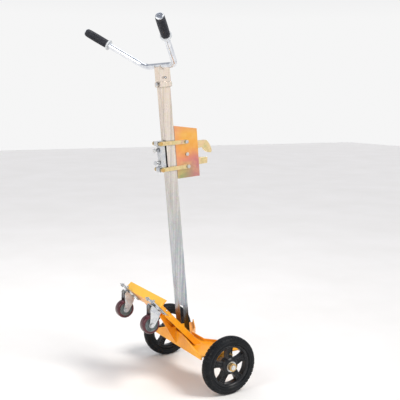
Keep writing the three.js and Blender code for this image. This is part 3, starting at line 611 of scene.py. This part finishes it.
def arm_matrix(distance, side):
    turn = Vector((0, 1, 0)).rotation_difference(arm.normalized()).to_matrix().to_4x4()
    at = Matrix.Translation(BAR_BEND + arm.normalized() * distance)
    mirror = Matrix.Scale(side, 4, (0, 1, 0)) if side < 0 else Matrix.Identity(4)
    return mirror @ at @ turn


def grip_profile():
    """Ribbed sleeve with a raised flange at the collar end and a rounded shoulder at the tip."""
    profile = [(BAR_R + GAP, 0), (16.0, 0), (16.5, 0.8), (16.5, 5.5), (15.2, 6.4)]
    ribs = 25
    first, pitch = 8.0, 3.6
    for i in range(ribs):
        at = first + pitch * i
        crest = 16.55 + 0.65 * math.sin(math.pi * (at / GRIP_LENGTH))
        profile += [(crest - 1.5, at), (crest - 0.35, at + 0.5), (crest, at + 1.1), (crest, at + 1.9),
                    (crest - 0.35, at + 2.5), (crest - 1.5, at + 3.0)]
    profile += [(15.9, 99.2), (16.2, 101), (15.8, 105.5), (14.6, 107.6), (13.4, GRIP_LENGTH),
                (BAR_R + GAP, GRIP_LENGTH)]
    return profile


COLLAR_PROFILE = [(BAR_R + GAP, 0), (17.5, 0), (20.0, 0.2), (21.3, 1.0), (21.8, 2.2), (21.8, 3.8),
                  (21.3, 5.0), (20.2, 5.9), (17.6, 6.4), (16.8, COLLAR_LENGTH), (BAR_R + GAP, COLLAR_LENGTH)]
PLUG_PROFILE = [(0, 0), (14.2, 0), (14.5, 0.4), (14.5, 1.8), (13.9, 2.7), (12.6, 3.5), (9.0, 3.9), (5.0, 4.1),
                (3.6, 3.6), (0, 3.4)]
for side, word in SIDES:
    grip_start = ARM_LENGTH - GRIP_LENGTH
    parts = (("grip", grip_profile(), grip_start, "grip"),
             ("grip_collar", COLLAR_PROFILE, grip_start - COLLAR_LENGTH - GAP, "collar"),
             ("bar_plug", PLUG_PROFILE, ARM_LENGTH + GAP, "bright_zinc"))
    for label, profile, distance, slot in parts:
        shape = Shape().lathe(profile, 72, arm_matrix(distance, side))
        piece(f"{label}_turned_{word}", shape, UPRIGHT, "frame", slot, [f"{label}_{word}"])


# ---- main wheels ----

LUGS = 45
# Each lug's turn as (part of the turn, how deep the groove is there).
LUG_TURN = ((0.0, 1.0), (0.09, 1.0), (0.13, 0.0), (0.5, 0.0), (0.87, 0.0), (0.91, 1.0))
LUG_ANGLES = [2 * math.pi * (lug + part) / LUGS for lug in range(LUGS) for part, _ in LUG_TURN]
SPOKES = 5


def tyre_profile():
    """[radius, y, groove depth] from bead to bead: rings on the walls, lugs on the shoulders."""
    wall = [(RIM_R + 0.4, 17.0, 0), (86.0, 18.9, 0), (88.0, 20.4, 0), (89.4, 21.2, 0), (90.4, 21.7, 0),
            (91.4, 21.2, 0), (93.0, 20.9, 0), (96.0, 21.1, 0), (98.5, 21.2, 0), (99.3, 21.9, 0),
            (100.6, 21.9, 0), (101.4, 21.1, 0), (103.6, 20.9, 0), (105.0, 20.6, 0), (107.0, 20.2, 1.6),
            (109.5, 19.6, 2.4), (111.6, 18.4, 2.8), (113.4, 16.6, 3.0), (114.8, 14.4, 3.0),
            (115.7, 12.0, 2.8), (116.2, 9.4, 2.4), (116.5, 8.2, 1.4), (114.2, 7.4, 0), (114.2, 6.2, 0),
            (116.8, 5.4, 0), (WHEEL_R, 2.4, 0), (WHEEL_R, 1.6, 0), (115.2, 1.0, 0)]
    return mirrored(wall)


def wheel_centre():
    """Moulded centre with boxed spokes, ribbed pockets and rolled rim lips."""
    shape = Shape()
    shape.lathe(mirrored([(73.6, 11.5), (74.4, 13.4), (76.0, 15.2), (77, 16.6), (78.6, 17.8),
                          (82.8, 17.8), (RIM_R, 16.8)]), 128)
    shape.lathe(mirrored([(21.3, 19.2), (22.0, HUB_HALF), (25.2, HUB_HALF), (26.4, 19.2), (28.2, 18.2),
                          (31.0, 16.4), (33.6, 13.6), (34.0, 12.0)]))
    outer = [(30, -13), (50, -11), (64, -13), (76, -17), (76, 17), (64, 13), (50, 11), (30, 13)]
    inner = [(36, -9.6), (50, -7.9), (63, -9.8), (72, -12.6), (72, 12.6), (63, 9.8), (50, 7.9), (36, 9.6)]
    for i in range(SPOKES):
        turn = Matrix.Rotation(math.radians(360 / SPOKES * i - 93), 4, "Y")
        shape.frame_prism(outer, inner, -13, 13, turn)
        shape.prism([(x * 0.999, z * 0.999) for x, z in inner], -9.2, 9.2, turn)
        shape.prism(slab(34, 74, 1.1), -11.8, 11.8, turn)
        for at, half in ((45.5, 8.6), (56.0, 9.0), (65.5, 10.8)):
            shape.prism(slab(at - 1.0, at + 1.0, half), -11.2, 11.2, turn)
    return shape


for side, word in SIDES:
    hub = Matrix.Translation((0, side * TRACK / 2, WHEEL_R))
    profile = tyre_profile()
    tyre = Shape().lathe([(r, y) for r, y, _ in profile], where=hub, angles=LUG_ANGLES,
                         depth=lambda i, k: profile[k][2] * LUG_TURN[i % len(LUG_TURN)][1])
    body = f"wheel_{word}"
    piece(f"tyre_tread_{word}", tyre, UPRIGHT, body, "tyre", [f"tyre_{word}"])
    centre = wheel_centre()
    centre.verts = [hub @ v for v in centre.verts]
    piece(f"wheel_spokes_{word}", centre, UPRIGHT, body, "wheel_plastic", [f"wheel_centre_{word}"], 0.5)
    nut_low = TRACK / 2 + HUB_HALF + 3.8
    axle_line = Matrix.Translation((0, 0, WHEEL_R))
    nut = Shape().hexagon(30, side * nut_low, side * (nut_low + 11.2), axle_line, JOURNAL_R + GAP)
    piece(f"axle_nut_chamfered_{word}", nut, UPRIGHT, "frame", "yellow_zinc", [f"axle_nut_{word}"], 0.3)


# ---- casters ----

CORE_RIBS = 8
TREAD_PROFILE = mirrored([(27.3, 15.6), (30.5, 16.0), (33.4, 15.8), (34.8, 14.9), (36.0, 13.2), (36.9, 10.8),
                          (37.4, 7.6), (37.5, 4.0)])
CORE_PROFILE = mirrored([(5.1, 16.3), (8.8, 16.5), (9.9, 16.0), (10.6, 14.6), (11.6, 11.6), (13.0, 10.8),
                         (21.6, 10.8), (22.9, 11.4), (24.4, 13.8), (26.0, 14.9), (27.0, 14.4)])
for side, word in SIDES:
    y = side * CASTER_Y
    hub = Matrix.Translation((CASTER_X + CASTER_TRAIL, y, CASTER_HUB_Z))
    piece(f"caster_tyre_{word}", Shape().lathe(TREAD_PROFILE, 96, hub), TIPPED, f"caster_wheel_{word}",
          "maroon_tread", [f"caster_tread_{word}"])
    core = Shape().lathe(CORE_PROFILE, 96, hub)
    for i in range(CORE_RIBS):
        turn = hub @ Matrix.Rotation(2 * math.pi * i / CORE_RIBS, 4, "Y")
        core.prism(slab(11.4, 22.6, 0.9), -13.4, 13.4, turn)
    piece(f"caster_hub_{word}", core, TIPPED, f"caster_wheel_{word}", "core_plastic", [f"caster_core_{word}"])
    fork_face = FORK_HALF + GAP
    axle = Shape().bolt(4.8, 13, (-fork_face, -25.5), FORK_HALF, (fork_face, 24.9), 26, hub)
    piece(f"caster_axle_bolt_{word}", axle, TIPPED, f"swivel_{word}", "bright_zinc", [f"caster_axle_{word}"])


# ---- clamp head ----

def through_bolt(flats, span, where):
    """A bolt whose head and nut sit against faces at -span and span."""
    return Shape().bolt(BOLT_R, flats, (-span, -span - 6.5), span, (span, span + 8), span + 12, where)


def cross_bolt(name, u, v, flats, slot, span=CLAMP_SPAN):
    shape = through_bolt(flats, span, Matrix.Translation((u, 0, v)))
    piece(f"{name}_turned", shape, MAST, "clamp_head", slot, [name])


cross_bolt("clamp_bolt_front_upper", BOLT_U, CLAMP_HIGH, 13, "bright_zinc")
cross_bolt("clamp_bolt_front_lower", BOLT_U, CLAMP_LOW, 13, "bright_zinc")
cross_bolt("clamp_bolt_rear_upper", PIN_U, CLAMP_REAR_HIGH, 15, "yellow_zinc")
cross_bolt("clamp_bolt_rear_lower", PIN_U, CLAMP_LOW, 15, "yellow_zinc")
cross_bolt("jaw_pivot_bolt", BOLT_U, CLAMP_MID, 13, "bright_zinc", JAW_SPAN)

SCREW_TIP, LOCK_NUT, SCREW_HEAD, SCREW_FLATS = -25.5, (-45.5, -53), (-61, -68), 14
for label, v in (("upper", 962), ("lower", 912)):
    where = Matrix.Translation((0, 0, v)) @ ALONG_X
    screw = Shape().thread(BOLT_R, LOCK_NUT[0], SCREW_TIP, where)
    screw.hexagon(SCREW_FLATS, *SCREW_HEAD, where).hexagon(SCREW_FLATS, *LOCK_NUT, where)
    screw.thread(BOLT_R, LOCK_NUT[1], SCREW_HEAD[0], where)
    piece(f"clamp_screw_{label}_turned", screw, MAST, "clamp_head", "bright_zinc", [f"clamp_screw_{label}"])

head = through_bolt(16, HEAD_SPAN, Matrix.Translation((0, 0, HEAD_BOLT_V)) @ ALONG_X)
piece("head_bolt_turned", head, MAST, "frame", "bright_zinc", ["head_bolt"])

COIL_R, COIL_TURNS, COIL_LENGTH, COIL_STEPS, WIRE_R = 8, 1.6, 1.9, 96, 0.6
coil = []
for i in range(COIL_STEPS + 1):
    t = i / COIL_STEPS
    a = t * COIL_TURNS * 2 * math.pi
    coil.append((BOLT_U + COIL_R * math.cos(a), JAW_HALF + 1 + COIL_LENGTH * t,
                 CLAMP_MID + COIL_R * math.sin(a)))
piece("jaw_spring_wire", Shape().tube(coil, WIRE_R, 12), MAST, "clamp_head", "bright_zinc", ["jaw_spring"])


# ---- weld beads on the frame ----

def bead(shape, points, radius, where=None, step=0.9, ripple=2.6):
    """A rippled fillet weld along a line of points."""
    fine = []
    for a, b in zip(points, points[1:]):
        a, b = Vector(a), Vector(b)
        count = max(2, int((b - a).length / step))
        fine += [a.lerp(b, i / count) for i in range(count)]
    fine.append(Vector(points[-1]))

    def swell(i):
        wander = 0.08 * math.sin(i * step / 9.0) + 0.05 * math.sin(i * step / 3.7 + 1)
        end = min(1.0, 0.35 + min(i, len(fine) - 1 - i) * 0.3)
        return end * (0.92 + wander + 0.14 * abs(math.sin(math.pi * i * step / ripple)))
    return shape.tube(fine, radius, 10, where, swell)


tongue = Shape()
for side in (1, -1):
    # Channel to the beam's wall, down each side.
    bead(tongue, [(-346.5, side * 75.6, 9), (-346.5, side * 75.6, -8)], 2.2)
# The same joint, across the channel's top.
bead(tongue, [(-346.6, -74, 10.4), (-346.6, 74, 10.4)], 2.4)
piece("weld_beam", tongue, TIPPED, "frame", "orange_paint")


def from_tipped(x, z):
    return (x * math.cos(TILT) + z * math.sin(TILT), HINGE_Z - x * math.sin(TILT) + z * math.cos(TILT))


def tray_meet(z):
    """Where the tray's top meets the tilted channel, at a height in the tipped frame."""
    x = (z * math.cos(TILT) - (TRAY_TOP + GAP - HINGE_Z)) / math.sin(TILT)
    return from_tipped(x, z)


base = Shape()
top_x, top_z = tray_meet(10)
low_x, low_z = tray_meet(-14)
bead(base, [(top_x + 0.8, -74, top_z + 0.6), (top_x + 0.8, 74, top_z + 0.6)], 2.6)
for side in (1, -1):
    bead(base, [(low_x, side * 75.4, low_z), (top_x, side * 75.4, top_z)], 2.3)
    # Axle bracket to the tray's underside.
    for face in (187.6, 196.4):
        bead(base, [(-42, side * face, 144.6), (30, side * face, 144.6)], 2.0)
    # Cradle to the tray, along the bent plate's rear face.
    rear_face = [(12, 3), (12, 50), (52, 92), (104, 196)]
    bead(base, [(x - 5.2, side * y, TRAY_TOP + 0.2) for x, y in rear_face], 2.0)
    # Gusset to the upstand.
    bead(base, [(TRAY_BACK - 0.6, side * 4.4, 148), (TRAY_BACK - 0.6, side * 4.4, 196)], 1.8)
piece("weld_base", base, UPRIGHT, "frame", "orange_paint")


def to_mast(x, z):
    ahead = x - MAST_FOOT_X
    return (ahead * math.cos(LEAN) + z * math.sin(LEAN), -ahead * math.sin(LEAN) + z * math.cos(LEAN))


def tongue_top(u):
    """Height along the mast at which the tongue's top passes, u ahead of the mast's centre line."""
    (ua, va), (ub, vb) = to_mast(*from_tipped(-150, 10.3)), to_mast(*from_tipped(-50, 10.3))
    return va + (vb - va) * (u - ua) / (ub - ua)


foot = Shape()
for u, away in ((-19.5, -1), (19.5, 1)):
    bead(foot, [(u + away * 0.4, -18, tongue_top(u) + 0.4), (u + away * 0.4, 18, tongue_top(u) + 0.4)], 2.4)
piece("weld_mast_foot", foot, MAST, "frame", "orange_paint")

saddle = Shape()
ring = [(BAR_BEND.x + 12.0 * math.cos(a), 0, BAR_BEND.z + 12.0 * math.sin(a))
        for a in (math.pi * (0.98 + 1.04 * i / 30) for i in range(31))]
for y in (-23.2, 23.2):
    bead(saddle, [(x, y, z) for x, _, z in ring], 1.7)
piece("weld_head", saddle, UPRIGHT, "frame", "galvanised")


# ---- floor, light and camera ----

def floor_look():
    g = Graph("studio_floor")
    cloud = g.noise(1.6, 5, 0.6)
    colour = g.ramp(cloud, [(0.35, (0.90, 0.88, 0.85)), (0.7, (0.94, 0.92, 0.895))])
    rough = g.span(g.noise(4, 4), 0.3, 0.7, 0.55, 0.68)
    return g.finish(Base_Color=colour, Roughness=rough, Normal=g.bump(g.noise(180, 3), 0.0003, 0.3))


def lay_floor(half):
    mesh = bpy.data.meshes.new("floor")
    corners = [(-half, -half, 0), (half, -half, 0), (half, half, 0), (-half, half, 0)]
    mesh.from_pydata(corners, [], [(0, 1, 2, 3)])
    mesh.materials.append(floor_look())
    obj = link("floor", mesh)


lay_floor(14.0)


def light_up(name, kind, direction, power, colour):
    light = bpy.data.lights.new(name, kind)
    light.energy = power
    light.color = colour
    obj = link(name, light)
    obj.rotation_mode = "QUATERNION"
    obj.rotation_quaternion = direction.to_track_quat("-Z", "Y")
    return obj


def lamp(name, at, aim, size, power, colour):
    obj = light_up(name, "AREA", Vector(aim) - Vector(at), power, colour)
    obj.location = at
    obj.data.shape = "RECTANGLE"
    obj.data.size, obj.data.size_y = size


def sun(name, at, power, spread, colour):
    obj = light_up(name, "SUN", -Vector(at), power, colour)
    obj.data.angle = math.radians(spread)


sun("key", (0.9, -1.5, 2.2), 2.3, 24, (1.0, 0.98, 0.95))
lamp("fill", (-2.6, -0.9, 2.3), (-0.1, 0, 0.35), (1.6, 2.0), 42, (1.0, 0.98, 0.93))
lamp("top", (0.2, 0.9, 3.2), (0, 0, 0.5), (2.2, 2.2), 22, (1.0, 1.0, 1.0))

world = bpy.data.worlds.new("soft_room")
world.use_nodes = True
sky = world.node_tree
background = sky.nodes["Background"]
direction = sky.nodes.new("ShaderNodeTexCoord")
split = sky.nodes.new("ShaderNodeSeparateXYZ")
shade = sky.nodes.new("ShaderNodeValToRGB")
sky.links.new(direction.outputs["Generated"], split.inputs[0])
sky.links.new(split.outputs["Z"], shade.inputs["Fac"])
stops = shade.color_ramp.elements
stops[0].position, stops[0].color = 0.12, (0.92, 0.92, 0.92, 1)
stops[1].position, stops[1].color = 0.62, (0.20, 0.22, 0.28, 1)
sky.links.new(shade.outputs["Color"], background.inputs["Color"])
background.inputs["Strength"].default_value = 1.0
bpy.context.scene.world = world

CAMERA_AT = Vector((-1.3209, -2.4317, 1.1344))
CAMERA_AIM = Vector((0.50866, 0.84998, -0.13712)).normalized()
CAMERA_ROLL = 0.0115
CAMERA_LENS = 62.1
level = CAMERA_AIM.cross(Vector((0, 0, 1))).normalized()
above = level.cross(CAMERA_AIM)
right = level * math.cos(CAMERA_ROLL) + above * math.sin(CAMERA_ROLL)
above = right.cross(CAMERA_AIM)
view = bpy.data.cameras.new("camera")
view.lens = CAMERA_LENS
view.sensor_width = 36
camera = link("camera", view)
rotation = Matrix((right, above, -CAMERA_AIM)).transposed()
camera.matrix_world = Matrix.Translation(CAMERA_AT) @ rotation.to_4x4()
bpy.context.scene.camera = camera
bpy.context.scene.view_settings.view_transform = "Standard"
